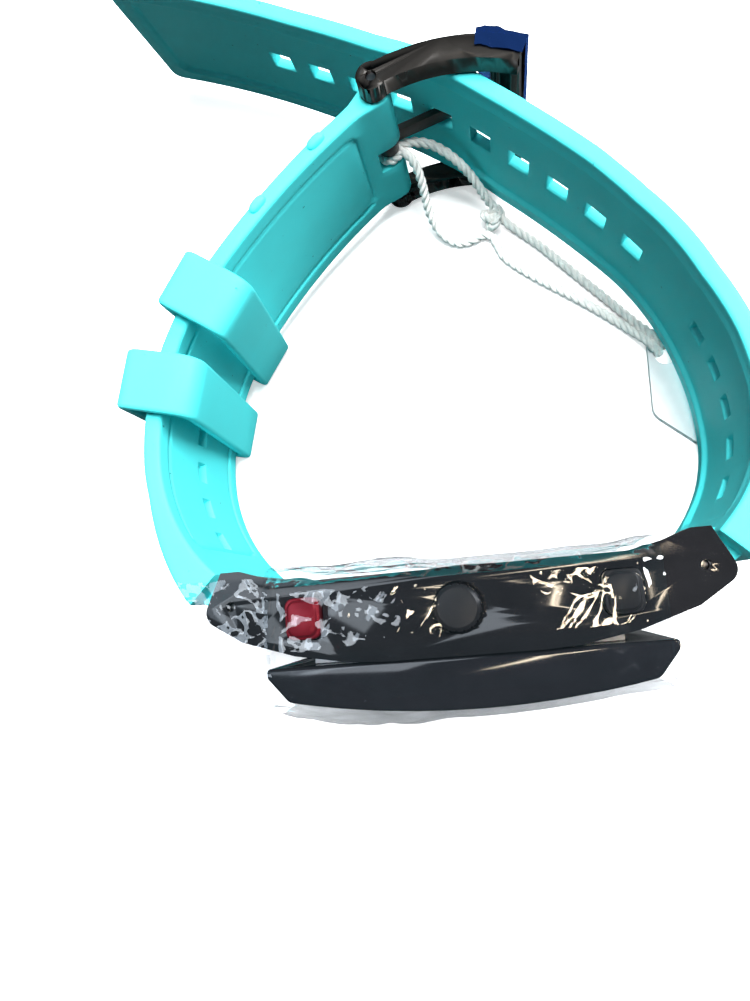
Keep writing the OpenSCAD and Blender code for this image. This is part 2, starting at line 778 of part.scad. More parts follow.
mid_case();
bezel();
cover_glass();
display_seal();
display_panel();
inner_frame();
main_board();
board_chips();
shield_can();
battery();
motor_can();
motor_shaft();
motor_weight();
switch_board();
switch_bodies();
back_seal();
back_cover();
back_screws();
sensor_board();
sensor_leds();
light_baffle();
sensor_window();
charging_pins();
button(-1, "darkred");  // red_button
stem_clip(-button_x, button_y, inner_z - 0.35, stem_r);  // red_clip
plunger(-button_x, button_y);  // red_plunger
button_spring(-1);  // red_spring
o_ring(-button_x, button_y, inner_z + 0.5, 1.15, 0.33);  // red_seal
button(1, shell_black);  // black_button
stem_clip(button_x, button_y, inner_z - 0.35, stem_r);  // black_clip
plunger(button_x, button_y);  // black_plunger
button_spring(1);  // black_spring
o_ring(button_x, button_y, inner_z + 0.5, 1.15, 0.33);  // black_seal
crown_knob();
crown_shaft();
stem_clip(0, crown_y, inner_z - 0.35, shaft_r);  // crown_clip
crown_tube();
o_ring(0, crown_y, near - 1.4, 0.93, 0.2);  // crown_seal
crown_slider();
plunger(0, crown_y);  // crown_plunger
bar_tubes();
bar_tips();
buckle_strap();
tail_strap();
keeper_upper();
keeper_lower();
buckle_pin();
buckle_frame();
buckle_film();
buckle_tongue();
case_film();
film_flap_left();
film_flap_right();
film_flap_top();
string_turns();
string_a();
string_b();
string_knot();
hang_tag();
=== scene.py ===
import json
import math

import bmesh
import bpy
import numpy as np
from mathutils import Matrix, Vector, noise


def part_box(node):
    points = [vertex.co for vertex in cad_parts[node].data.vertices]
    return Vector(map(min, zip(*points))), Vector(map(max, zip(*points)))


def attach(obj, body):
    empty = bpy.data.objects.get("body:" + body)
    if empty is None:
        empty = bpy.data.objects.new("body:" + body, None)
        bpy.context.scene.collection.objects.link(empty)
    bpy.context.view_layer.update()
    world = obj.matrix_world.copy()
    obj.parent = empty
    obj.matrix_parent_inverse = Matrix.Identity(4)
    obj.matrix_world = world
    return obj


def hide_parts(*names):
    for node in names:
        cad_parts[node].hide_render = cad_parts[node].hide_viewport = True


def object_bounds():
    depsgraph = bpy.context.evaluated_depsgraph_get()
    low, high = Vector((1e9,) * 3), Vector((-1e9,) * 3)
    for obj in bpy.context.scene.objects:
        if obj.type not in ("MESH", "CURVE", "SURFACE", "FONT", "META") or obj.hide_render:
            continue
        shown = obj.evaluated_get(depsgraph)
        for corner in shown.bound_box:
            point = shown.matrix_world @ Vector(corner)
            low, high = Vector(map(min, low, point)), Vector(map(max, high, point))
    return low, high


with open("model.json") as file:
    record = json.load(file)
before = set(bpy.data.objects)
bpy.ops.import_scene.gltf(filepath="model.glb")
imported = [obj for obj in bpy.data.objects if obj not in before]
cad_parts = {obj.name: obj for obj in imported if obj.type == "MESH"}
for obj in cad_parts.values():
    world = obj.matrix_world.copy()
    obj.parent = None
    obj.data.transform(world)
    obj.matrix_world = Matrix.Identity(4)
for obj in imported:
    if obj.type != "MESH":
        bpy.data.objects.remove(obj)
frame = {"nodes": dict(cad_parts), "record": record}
cad_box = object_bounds()
MM = 0.001


# ---------- camera ----------

def unit(v):
    return v / np.linalg.norm(v)


CAMERA_AT = (4.6, -1.3, 102)           # mm, in the row frame
STRAIGHT_DOWN = (0.17544, 0.12888, 1)  # the row's -Z as the camera has it: right, down and ahead
X_SLANT = -5                           # degrees that the row's X falls by in the view
FOCAL = 741 / 1001                     # focal length as a share of the picture's height

row_z = -unit(np.array(STRAIGHT_DOWN))
level = np.array([math.cos(math.radians(X_SLANT)), math.sin(math.radians(X_SLANT)), 0])
row_x = unit(level - (level @ row_z) * row_z)
row_y = np.cross(row_z, row_x)
view_right, view_down, view_ahead = np.array([row_x, row_y, row_z]).T
camera_data = bpy.data.cameras.new("camera")
camera = bpy.data.objects.new("camera", camera_data)
bpy.context.scene.collection.objects.link(camera)
camera.matrix_world = Matrix.Translation(Vector(CAMERA_AT) * MM) @ Matrix(
    (Vector(view_right), Vector(-view_down), Vector(-view_ahead))).transposed().to_4x4()
camera_data.sensor_width = 36
camera_data.lens = FOCAL * camera_data.sensor_width
camera_data.clip_start = 0.001
bpy.context.scene.camera = camera
bpy.context.scene.view_settings.view_transform = "Standard"


# ---------- mesh helpers ----------

def new_object(name, verts, faces, smooth=True):
    """Mesh object from points in millimetres, with normals made to agree."""
    mesh = bpy.data.meshes.new(name)
    mesh.from_pydata([[c * MM for c in v] for v in verts], [], faces)
    bm = bmesh.new()
    bm.from_mesh(mesh)
    bmesh.ops.recalc_face_normals(bm, faces=bm.faces)
    bm.to_mesh(mesh)
    bm.free()
    mesh.polygons.foreach_set("use_smooth", [smooth] * len(mesh.polygons))
    obj = bpy.data.objects.new(name, mesh)
    bpy.context.scene.collection.objects.link(obj)
    return obj


def add_bevel(obj, width, segments=2, angle=35):
    mod = obj.modifiers.new("bevel", "BEVEL")
    mod.width = width * MM
    mod.segments = segments
    mod.limit_method = "ANGLE"
    mod.angle_limit = math.radians(angle)
    return mod


def grid_faces(rows, cols, start=0, wrap_rows=False, wrap_cols=False):
    faces = []
    for i in range(rows if wrap_rows else rows - 1):
        for k in range(cols if wrap_cols else cols - 1):
            a, b = i * cols, (i + 1) % rows * cols
            j = (k + 1) % cols
            faces.append([start + a + k, start + a + j, start + b + j, start + b + k])
    return faces


def smoothstep(x):
    x = min(1, max(0, x))
    return x * x * (3 - 2 * x)


# ---------- string: cords first ----------

STRING_D = 1.25
ROUTE_A = [(-2.6, 58, 12.4), (-1.8, 58.3, 12.3), (-0.6, 58.4, 12.1), (0.7, 58.2, 11.8),
           (1.9, 57.8, 11.4), (3, 57.2, 10.9), (4, 56.6, 10.2), (5, 56, 9.2), (6, 55.3, 7.8),
           (7, 54.4, 6.1), (7.9, 53.5, 4.5), (8.7, 52.8, 3.1), (9.4, 52.1, 2), (10.4, 51, 1.2),
           (12.3, 49.3, 0.7), (14.8, 46.8, 0.7), (17.2, 44, 0.7), (19.6, 41.2, 0.7), (22, 38.4, 0.7),
           (24.2, 35.8, 0.7), (26.2, 33.4, 0.8), (27.4, 31.9, 1.4), (28.3, 30.7, 1.7),
           (29.1, 29.5, 1.1)]
ROUTE_B = [(-2.8, 57.4, 12.5), (-2.1, 57.1, 12.4), (-1.4, 56.6, 11.9), (-0.8, 55.9, 10.6),
           (-0.4, 54.9, 8.7), (-0.2, 53.8, 6.5), (0.1, 52.5, 4.3), (0.8, 51.2, 2.4), (2, 50, 1.2),
           (3.6, 49.2, 0.7), (5.4, 49.2, 0.7), (7, 49.7, 0.8), (8.3, 49.3, 0.9), (9, 47.9, 0.8),
           (9.9, 45.9, 0.7), (12.9, 43, 0.7), (16.7, 40, 0.7), (20, 37.4, 0.7), (22.8, 35, 0.7),
           (25.2, 32.8, 0.8), (26.6, 31.2, 1.4), (27.5, 30, 1.7), (28.5, 28.7, 1.1)]


def smooth_route(points, step=0.3, closed=False):
    """Catmull-Rom curve through the points, resampled evenly."""
    p = [np.array(q, float) for q in points]
    n = len(p)
    out = []
    for i in range(n if closed else n - 1):
        if closed:
            a, b, c, d = p[i - 1], p[i], p[(i + 1) % n], p[(i + 2) % n]
        else:
            b, c = p[i], p[i + 1]
            a = p[i - 1] if i else 2 * b - c
            d = p[i + 2] if i + 2 < n else 2 * c - b
        for t in np.linspace(0, 1, 12, endpoint=False):
            out.append(0.5 * (2 * b + (c - a) * t + (2 * a - 5 * b + 4 * c - d) * t ** 2
                              + (3 * b - a - 3 * c + d) * t ** 3))
    out.append(p[0] if closed else p[-1])
    out = np.array(out)
    run = np.concatenate([[0], np.cumsum(np.linalg.norm(np.diff(out, axis=0), axis=1))])
    even = np.linspace(0, run[-1], max(4, int(run[-1] / step)))
    return np.array([np.interp(even, run, out[:, k]) for k in range(3)]).T


def plied_tube(name, line, closed=False, plies=3, pitch=3.4, sides=8):
    """Plies of yarn twisted round one line, as one mesh."""
    offset, radius = STRING_D * 0.25, STRING_D * 0.27
    n = len(line)
    tangents = np.gradient(line, axis=0)
    if closed:
        tangents[0] = tangents[-1] = line[1] - line[-2]
    tangents = tangents / np.linalg.norm(tangents, axis=1)[:, None]
    step = np.linalg.norm(line[1] - line[0])
    turns = n * step / pitch
    if closed:
        turns = round(turns)
    side = unit(np.cross(tangents[0], [0.3, 0.2, 1]))
    verts, faces = [], []
    frames = []
    for t in tangents:
        side = unit(side - (side @ t) * t)
        frames.append((side, np.cross(t, side)))
    for ply in range(plies):
        start = len(verts)
        for i in range(n):
            u, v = frames[i]
            a = 2 * math.pi * (turns * i / (n - 1) + ply / plies)
            mid = line[i] + offset * (math.cos(a) * u + math.sin(a) * v)
            r = radius * (1 + 0.06 * noise.noise(Vector((i * 0.31, ply * 7.3, n * 0.1))))
            for k in range(sides):
                b = 2 * math.pi * k / sides
                verts.append(mid + r * (math.cos(b) * u + math.sin(b) * v))
        faces += grid_faces(n, sides, start, wrap_cols=True)
        if not closed:
            faces.append(list(range(start, start + sides)))
            faces.append(list(range(start + (n - 1) * sides, start + n * sides)))
    return new_object(name, verts, faces)


line_a = smooth_route(ROUTE_A)
line_b = smooth_route(ROUTE_B)
strand_a = plied_tube("string_strand_a", line_a)
strand_b = plied_tube("string_strand_b", line_b)

KNOT_AT = np.array([8.7, 51.6, 1.9])


def knot_line():
    """An overhand knot: a trefoil, flattened where it lies on the table."""
    t = np.linspace(0, 2 * math.pi, 40, endpoint=False)
    pts = np.array([0.43 * (np.sin(t) + 2 * np.sin(2 * t)), 0.43 * (np.cos(t) - 2 * np.cos(2 * t)),
                    -0.62 * np.sin(3 * t)]).T
    return smooth_route(pts + KNOT_AT, step=0.22, closed=True)


knot = plied_tube("string_overhand_knot", knot_line(), closed=True, pitch=2.8)

pin_low, pin_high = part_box("buckle_pin")
PIN = [(pin_low[0] + pin_high[0]) / 2 / MM, (pin_low[1] + pin_high[1]) / 2 / MM]
turns_low, turns_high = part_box("string_turns")
turn_z = (turns_low[2] + turns_high[2]) / 2 / MM
circle = [(PIN[0] + 1.3 * math.cos(a), PIN[1] + 1.3 * math.sin(a), turn_z)
          for a in np.linspace(0, 2 * math.pi, 24, endpoint=False)]
string_turn = plied_tube("string_turn_on_pin", smooth_route(circle, 0.2, closed=True), closed=True,
                         pitch=2.7)


def outline_plate(outline, hole, z0, z1, bevel, name):
    """Plate of a flat outline with one round hole, its edges bevelled."""
    curve = bpy.data.curves.new(name, "CURVE")
    curve.dimensions = "2D"
    curve.fill_mode = "BOTH"
    for pts in (outline, hole):
        spline = curve.splines.new("POLY")
        spline.points.add(len(pts) - 1)
        for q, p in zip(spline.points, pts):
            q.co = (p[0] * MM, p[1] * MM, 0, 1)
        spline.use_cyclic_u = True
    curve.extrude = ((z1 - z0) / 2 - bevel) * MM
    curve.bevel_depth = bevel * MM
    curve.bevel_resolution = 2
    curve.offset = -bevel * MM
    maker = bpy.data.objects.new(name, curve)
    bpy.context.scene.collection.objects.link(maker)
    bpy.context.view_layer.update()
    mesh = bpy.data.meshes.new_from_object(maker)
    mesh.transform(Matrix.Translation((0, 0, (z0 + z1) / 2 * MM)))
    bpy.data.objects.remove(maker)
    return mesh


def join_meshes(name, meshes):
    bm = bmesh.new()
    for mesh in meshes:
        bm.from_mesh(mesh)
    bmesh.ops.remove_doubles(bm, verts=bm.verts, dist=1e-7)
    bmesh.ops.recalc_face_normals(bm, faces=bm.faces)
    mesh = bpy.data.meshes.new(name)
    bm.to_mesh(mesh)
    bm.free()
    obj = bpy.data.objects.new(name, mesh)
    bpy.context.scene.collection.objects.link(obj)
    return obj


def rounded(points, radii, steps=5):
    """Closed outline with each corner rounded off over its own distance."""
    out = []
    n = len(points)
    for i in range(n):
        p = np.array(points[i], float)
        u = unit(np.array(points[i - 1]) - p)
        v = unit(np.array(points[(i + 1) % n]) - p)
        for t in np.linspace(0, 1, steps + 1):
            out.append(p + radii[i] * ((1 - t) ** 2 * u + t * t * v))
    return out


# ---------- hang tag: a folded card ----------

TAG_HOLE = (29.2, 28.9)
TAG_TURN = -42
TAG_W, TAG_LEN = 15.6, 22
TAG_HOLE_R = 1.4


def tag_point(p):
    a = math.radians(TAG_TURN)
    return (TAG_HOLE[0] + p[0] * math.cos(a) - p[1] * math.sin(a),
            TAG_HOLE[1] + p[0] * math.sin(a) + p[1] * math.cos(a))


def make_tag():
    half = TAG_W / 2
    shape = rounded([(-2.9, 0), (3.5, -half), (TAG_LEN, -half), (TAG_LEN, half), (3.5, half)],
                    [0.8, 1, 1, 1, 1])
    hole = [(TAG_HOLE_R * math.cos(a), TAG_HOLE_R * math.sin(a))
            for a in np.linspace(0, 2 * math.pi, 28, endpoint=False)]
    layers = []
    for z0, z1, shrink in ((0.02, 0.36, 0), (0.44, 0.8, 0.12)):
        outline = [tag_point((x - (shrink if x > 10 else 0), y * (1 - shrink / TAG_W))) for x, y in shape]
        layers.append(outline_plate(outline, [tag_point(p) for p in hole], z0, z1, 0.05, "tag_layer"))
    return join_meshes("folded_card_tag", layers)


tag = make_tag()


# ---------- straps ----------

CASE_W = 28
MID_Z = CASE_W / 2
ROOT_X, ROOT_R = 12.4, 19     # centre and radius of the arc that each strap leaves the lugs on
ROOT_HEADING = math.pi / 4
LUG_W, BUCKLE_W = 26, 20.6
TAPER_FROM, TAPER_RUN = 5, 50
STRAP_T, ROOT_EXTRA = 2, 2.3
EDGE_R = 0.45
PANEL_IN = 2.8               # from the strap's edge to its recessed panel


def path_at(root_y, arcs):
    """Inner face of a strap: a function from distance to x, y and heading."""
    segments = []
    x, y = ROOT_X + ROOT_R * math.cos(ROOT_HEADING), root_y - ROOT_R * math.sin(ROOT_HEADING)
    h, run = ROOT_HEADING, 0
    for radius, turn in arcs:
        turn = math.radians(turn)
        cx, cy = x - radius * math.sin(h), y + radius * math.cos(h)
        segments.append((run, radius, h, cx, cy))
        run += radius * turn
        h += turn
        x, y = cx + radius * math.sin(h), cy - radius * math.cos(h)

    def at(s):
        k = max([i for i, g in enumerate(segments) if g[0] <= s], default=0)
        start, radius, h0, cx, cy = segments[k]
        if s > run:
            return x + (s - run) * math.cos(h), y + (s - run) * math.sin(h), h
        if s < 0:
            g = segments[0]
            px, py = g[3] + g[1] * math.sin(g[2]), g[4] - g[1] * math.cos(g[2])
            return px + s * math.cos(g[2]), py + s * math.sin(g[2]), g[2]
        a = h0 + (s - start) / radius
        return cx + radius * math.sin(a), cy - radius * math.cos(a), a

    return at, run


def half_width(y):
    share = min(1, max(0, (y - TAPER_FROM) / TAPER_RUN))
    return (LUG_W + (BUCKLE_W - LUG_W) * share) / 2


def root_thickness(s):
    return STRAP_T + ROOT_EXTRA * max(0, 1 - max(s, 0) / 11) ** 1.3


def panel_distance(s, w, half, s0, s1, corner):
    """Signed distance from the panel's outline, negative inside."""
    dx = max(s0 - s, s - s1) + corner
    dy = abs(w) - (half - PANEL_IN) + corner
    return math.hypot(max(dx, 0), max(dy, 0)) + min(max(dx, dy), 0) - corner


def ring_half(half, t0, t1, lanes, reach):
    """Half a cross-section as (w, depth, face), from the middle of the inner face round to the outer."""
    mid = [(w, t0, "in") for w in [0] + lanes]
    first = half - 4.6 - lanes[-1]
    mid += [(lanes[-1] + first * 0.5, t0, "in")] if first > 1 else []
    edge = [4.4, 3.6, 3.2, 3.0, 2.9, 2.8, 2.7, 2.6, 2.4, 2.0, 1.2, 0.8]
    mid += [(half - e, t0, "in") for e in edge if half - e > lanes[-1] + 0.2]
    r = min(reach, (t1 - t0) / 2.05)
    corner_in = [(half - r + r * math.sin(a), t0 + r - r * math.cos(a), "rim")
                 for a in np.radians([0, 22, 45, 67, 90])]
    side = [(half, t0 + r + (t1 - t0 - 2 * r) * f, "side") for f in (0.33, 0.66)]
    corner_out = [(half - r + r * math.cos(a), t1 - r + r * math.sin(a), "rim")
                  for a in np.radians([0, 30, 60, 90])]
    outer = [(half - e, t1, "out") for e in (1.6, 3.4) if half - e > lanes[-1] + 0.2]
    return mid + corner_in + side + corner_out + outer + [(w, t1, "out") for w in reversed([0] + lanes)]


def strap_mesh(spec):
    """Lofts a strap. Holes go right through, pockets are blind, and a slot is open at the end."""
    at, verts, rings, faces = spec["at"], [], [], []
    layout = None
    for s in spec["stations"]:
        x, y, h = at(s)
        half, t0, t1 = spec["section"](s, y)
        near = ring_half(half, t0, t1, spec["near_lanes"], EDGE_R)
        far = ring_half(half, t0, t1, spec["far_lanes"], EDGE_R)
        ring = near + [(-w, d, f) for w, d, f in reversed(far[1:-1])]
        layout = layout or ring
        row = []
        for w, d, f in ring:
            if f in ("in", "out"):
                d += spec["relief"](s, w, half, f)
            d -= spec["lean"](s, w / half)
            row.append(len(verts))
            verts.append([spec["side"] * (x + d * math.sin(h)), y - d * math.cos(h), MID_Z + w])
        rings.append(row)
    n = len(layout)
    stations = spec["stations"]

    def inside(area, i, k, faces_of):
        s0, s1, w0, w1 = area
        j = (k + 1) % n
        mid = (stations[i] + stations[i + 1]) / 2
        (wa, _, fa), (wb, _, fb) = layout[k], layout[j]
        return (s0 < mid < s1 and fa in faces_of and fb == fa
                and min(wa, wb) > w0 - 0.01 and max(wa, wb) < w1 + 0.01)

    for i in range(len(rings) - 1):
        for k in range(n):
            if any(inside(a, i, k, ("in", "out")) for a in spec["holes"]):
                continue
            if any(inside(a, i, k, ("in",)) for a in spec["pockets"]):
                continue
            j = (k + 1) % n
            faces.append([rings[i][k], rings[i][j], rings[i + 1][j], rings[i + 1][k]])

    def lane(w, f):
        return next(k for k in range(n) if layout[k][2] == f and abs(layout[k][0] - w) < 0.01)

    def lanes_between(w0, w1, f):
        found = {round(layout[k][0], 3): k for k in range(n)
                 if layout[k][2] == f and w0 - 0.01 < layout[k][0] < w1 + 0.01}
        return [found[w] for w in sorted(found)]

    def station(s):
        return min(range(len(stations)), key=lambda i: abs(stations[i] - s))

    for s0, s1, w0, w1 in spec["holes"]:
        i0, i1 = station(s0), station(s1)
        for w in (w0, w1):
            a, b = lane(w, "in"), lane(w, "out")
            for i in range(i0, i1):
                faces.append([rings[i][a], rings[i + 1][a], rings[i + 1][b], rings[i][b]])
        ends = [i0] if s1 >= stations[-1] else [i0, i1]
        ins, outs = lanes_between(w0, w1, "in"), lanes_between(w0, w1, "out")
        for i in ends:
            for a in range(len(ins) - 1):
                faces.append([rings[i][ins[a]], rings[i][ins[a + 1]],
                              rings[i][outs[a + 1]], rings[i][outs[a]]])
    for s0, s1, w0, w1 in spec["pockets"]:
        i0, i1 = station(s0), station(s1)
        ins = lanes_between(w0, w1, "in")
        floor = []
        for i in range(i0, i1 + 1):
            x, y, h = at(stations[i])
            row = []
            for k in ins:
                p = np.array(verts[rings[i][k]])
                centre = at((s0 + s1) / 2)
                mid = np.array([spec["side"] * centre[0], centre[1], MID_Z])
                sunk = p + spec["pocket_depth"] * np.array([spec["side"] * math.sin(h), -math.cos(h), 0])
                sunk = sunk + 0.22 * (mid - p) * np.array([1, 1, 1])
                row.append(len(verts))
                verts.append(list(sunk))
            floor.append(row)
        for a in range(len(floor) - 1):
            for b in range(len(ins) - 1):
                faces.append([floor[a][b], floor[a][b + 1], floor[a + 1][b + 1], floor[a + 1][b]])
            for b in (0, -1):
                faces.append([rings[i0 + a][ins[b]], rings[i0 + a + 1][ins[b]],
                              floor[a + 1][b], floor[a][b]])
        for b in range(len(ins) - 1):
            for a, i in ((0, i0), (-1, i1)):
                faces.append([rings[i][ins[b]], rings[i][ins[b + 1]], floor[a][b + 1], floor[a][b]])
    faces.append(rings[0])
    slots = [a for a in spec["holes"] if a[1] >= stations[-1]]
    if slots:
        w0, w1 = slots[0][2], slots[0][3]
        faces.append([rings[-1][k] for k in range(lane(w1, "in"), lane(w1, "out") + 1)])
        faces.append([rings[-1][k] for k in range(lane(w0, "out"), n) if layout[k][0] <= w0 + 0.01])
    else:
        faces.append(rings[-1])
    return verts, faces


BAR_X, TANG_R = 23.5, 2.35
LUG_GAP = 4.35                # from the case's edge to the strap between the lugs


def tang_mesh(side):
    """The part of a strap that fills the gap between the lugs and wraps the spring bar."""
    shape = [(BAR_X + TANG_R * math.cos(a), TANG_R * math.sin(a))
             for a in np.radians(np.arange(80, 281, 12.5))]
    shape += [(26.9, 0), (28.5, 0.9), (26.3, 3.7), (25, 3.6)]
    n = len(shape)
    verts = [(side * x, y, z) for z in (LUG_GAP, CASE_W - LUG_GAP) for x, y in shape]
    faces = [[k, (k + 1) % n, n + (k + 1) % n, n + k] for k in range(n)]
    faces += [list(range(n)), list(range(n, 2 * n))]
    return verts, faces


def with_shells(name, shells):
    verts, faces = [], []
    for v, f in shells:
        start = len(verts)
        verts += [list(p) for p in v]
        faces += [[start + k for k in face] for face in f]
    return new_object(name, verts, faces)


def nub_mesh(at, side, s, sign):
    """Rounded bump on the edge of the buckle strap."""
    x, y, h = at(s)
    half = half_width(y)
    verts, faces = [], []
    rows, cols = 9, 16
    for i in range(rows):
        a = math.pi * (i + 0.5) / rows
        for k in range(cols):
            b = 2 * math.pi * k / cols
            p = (math.cos(a), math.sin(a) * math.cos(b), math.sin(a) * math.sin(b))
            q = [math.copysign(abs(c) ** 0.75, c) for c in p]
            along, depth, out = 1.25 * q[0], 1.25 + 0.62 * q[1], half - 0.1 + 0.85 * q[2]
            verts.append([side * (x + along * math.cos(h) + depth * math.sin(h)),
                          y + along * math.sin(h) - depth * math.cos(h), MID_Z + sign * out])
    faces += grid_faces(rows, cols, wrap_cols=True)
    faces += [list(range(cols)), list(range((rows - 1) * cols, rows * cols))]
    return verts, faces


tail_at, TAIL_LEN = path_at(17, [(ROOT_R, 45), (36.5, 41), (152, 27.5)])
HOLE, PITCH, HOLES = 3.1, 5.95, 10
FIRST_HOLE = 67.9 - 5 * PITCH
VENT = 1.25                   # half the side of a vent pocket
VENT_DEPTH, VENTS = 1.1, 5
TIP_R = 1.8


def span(middle, half):
    """A square's reach along the strap and across it."""
    return middle - half, middle + half, -half, half


def spread(s0, s1, step, extra):
    """Stations every step or so, with the extra ones kept exactly."""
    out = sorted(set([s0, s1] + extra))
    filled = []
    for a, b in zip(out, out[1:]):
        n = max(1, round((b - a) / step))
        filled += [a + (b - a) * i / n for i in range(n)]
    return filled + [out[-1]]


def tail_section(s, y):
    half, t1 = half_width(y), root_thickness(s)
    if s > TAIL_LEN - TIP_R:
        half -= TIP_R - math.sqrt(max(0, TIP_R ** 2 - (s - TAIL_LEN + TIP_R) ** 2))
    shy = 0
    if s > TAIL_LEN - EDGE_R:
        shy = EDGE_R - math.sqrt(max(0, EDGE_R ** 2 - (s - TAIL_LEN + EDGE_R) ** 2))
    return half, shy, t1 - shy


def tail_relief(s, w, half, face):
    if face == "out":
        return 0.05 * noise.noise(Vector((s * 0.05, w * 0.05, 3)))
    d = panel_distance(s, w, half if s < TAIL_LEN - 3 else 11 - 0.7, 2, TAIL_LEN - 2.7, 1.8)
    ridge = 0.12 * math.exp(-((d - 0.35) / 0.3) ** 2)
    return 0.5 * smoothstep((0.22 - d) / 0.44) - ridge


def tail_lean(s, side):
    """How far the soft strap has sagged inwards, more at its near edge."""
    near = np.interp(s, [8, 21, 28, 39, 46, 66, 72, 76, 87, 100, 114],
                     [0, 0.7, 1.4, 1.4, 0.8, 0.4, 0.9, 1.5, 2.3, 2.7, 3.1])
    far = np.interp(s, [8, 24, 58, 66, 85, 114], [0, 0.5, 0.5, 0.1, 0.4, 0.6])
    return far + (near - far) * (side + 1) / 2


holes = [span(FIRST_HOLE + k * PITCH, HOLE / 2) for k in range(HOLES)]
tail_vents = [span(6.5 + 4.62 * k, VENT) for k in range(VENTS)]
edges = [s for a in holes + tail_vents for s in a[:2]]
tip_steps = [TAIL_LEN - 3, TAIL_LEN - 2.7, TAIL_LEN - TIP_R, TAIL_LEN - 1.4, TAIL_LEN - 1, TAIL_LEN - 0.7,
             TAIL_LEN - EDGE_R, TAIL_LEN - 0.3, TAIL_LEN - 0.15, TAIL_LEN - 0.05]
tail_spec = {"at": tail_at, "side": 1, "section": tail_section, "relief": tail_relief, "lean": tail_lean,
             "near_lanes": [VENT, HOLE / 2], "far_lanes": [VENT, HOLE / 2], "holes": holes,
             "pockets": tail_vents, "pocket_depth": VENT_DEPTH,
             "stations": spread(-0.6, TAIL_LEN, 0.75, edges + tip_steps)}
tail = with_shells("tail_strap_band", [strap_mesh(tail_spec), tang_mesh(1)])

SHORT_R = 31.7                # of the arc that carries the keepers
short_at, SHORT_LEN = path_at(17.5, [(ROOT_R, 45), (SHORT_R, 38), (89.5, 18.7)])
BARREL_R, BARREL_IN = 1.75, 1.05
SLOT_IN = 2.4
SLOT_FAR, SLOT_NEAR = 2.4, 1.6


def short_section(s, y):
    half, t1 = half_width(y), root_thickness(s)
    swell = smoothstep((s - SHORT_LEN + 4) / 4)
    t0 = (BARREL_IN - BARREL_R) * swell
    t1 += (BARREL_IN + BARREL_R - STRAP_T) * swell
    if s > SHORT_LEN:
        r = math.sqrt(max(0.01, BARREL_R ** 2 - (s - SHORT_LEN) ** 2))
        t0, t1 = BARREL_IN - r, BARREL_IN + r
    return half, t0, t1


def short_relief(s, w, half, face):
    if face == "out":
        return 0.05 * noise.noise(Vector((s * 0.05, w * 0.05, 9)))
    d = panel_distance(s, w, half, 4, SHORT_LEN - 4.4, 1.6)
    return 0.4 * math.exp(-(d / 0.2) ** 2) + 0.1 * smoothstep((0.2 - d) / 0.4)


def short_lean(s, side):
    return 0


short_vents = [span(5.6 + 4.65 * k, VENT) for k in range(VENTS)]
slot = (SHORT_LEN - SLOT_IN, SHORT_LEN + 5, -SLOT_FAR, SLOT_NEAR)
barrel_steps = [SHORT_LEN + BARREL_R * math.sin(math.radians(a)) for a in (15, 30, 45, 60, 72, 82, 89)]
edges = [s for a in short_vents for s in a[:2]] + [slot[0], SHORT_LEN, SHORT_LEN - 4.4, SHORT_LEN - 4.2,
                                                  SHORT_LEN - 4.6, 3.8, 4, 4.2]
short_spec = {"at": short_at, "side": -1, "section": short_section, "relief": short_relief,
              "lean": short_lean, "near_lanes": [VENT, SLOT_NEAR], "far_lanes": [VENT, SLOT_FAR],
              "holes": [slot], "pockets": short_vents, "pocket_depth": VENT_DEPTH,
              "stations": spread(-0.6, barrel_steps[-1], 0.75, edges + barrel_steps[:-1])}
nubs = [nub_mesh(short_at, -1, s, sign) for s in (46.5, 56.3) for sign in (-1, 1)]
short = with_shells("buckle_strap_band", [strap_mesh(short_spec), tang_mesh(-1)] + nubs)
for strap in (tail, short):
    add_bevel(strap, 0.16, 2, 38)


# ---------- keepers ----------

KEEPER_C = (SHORT_R - 31.4, 17.5)
KEEPER_WALL, KEEPER_LEN, KEEPER_H, KEEPER_GAP = 1.4, 6.9, 9.2, 0.15


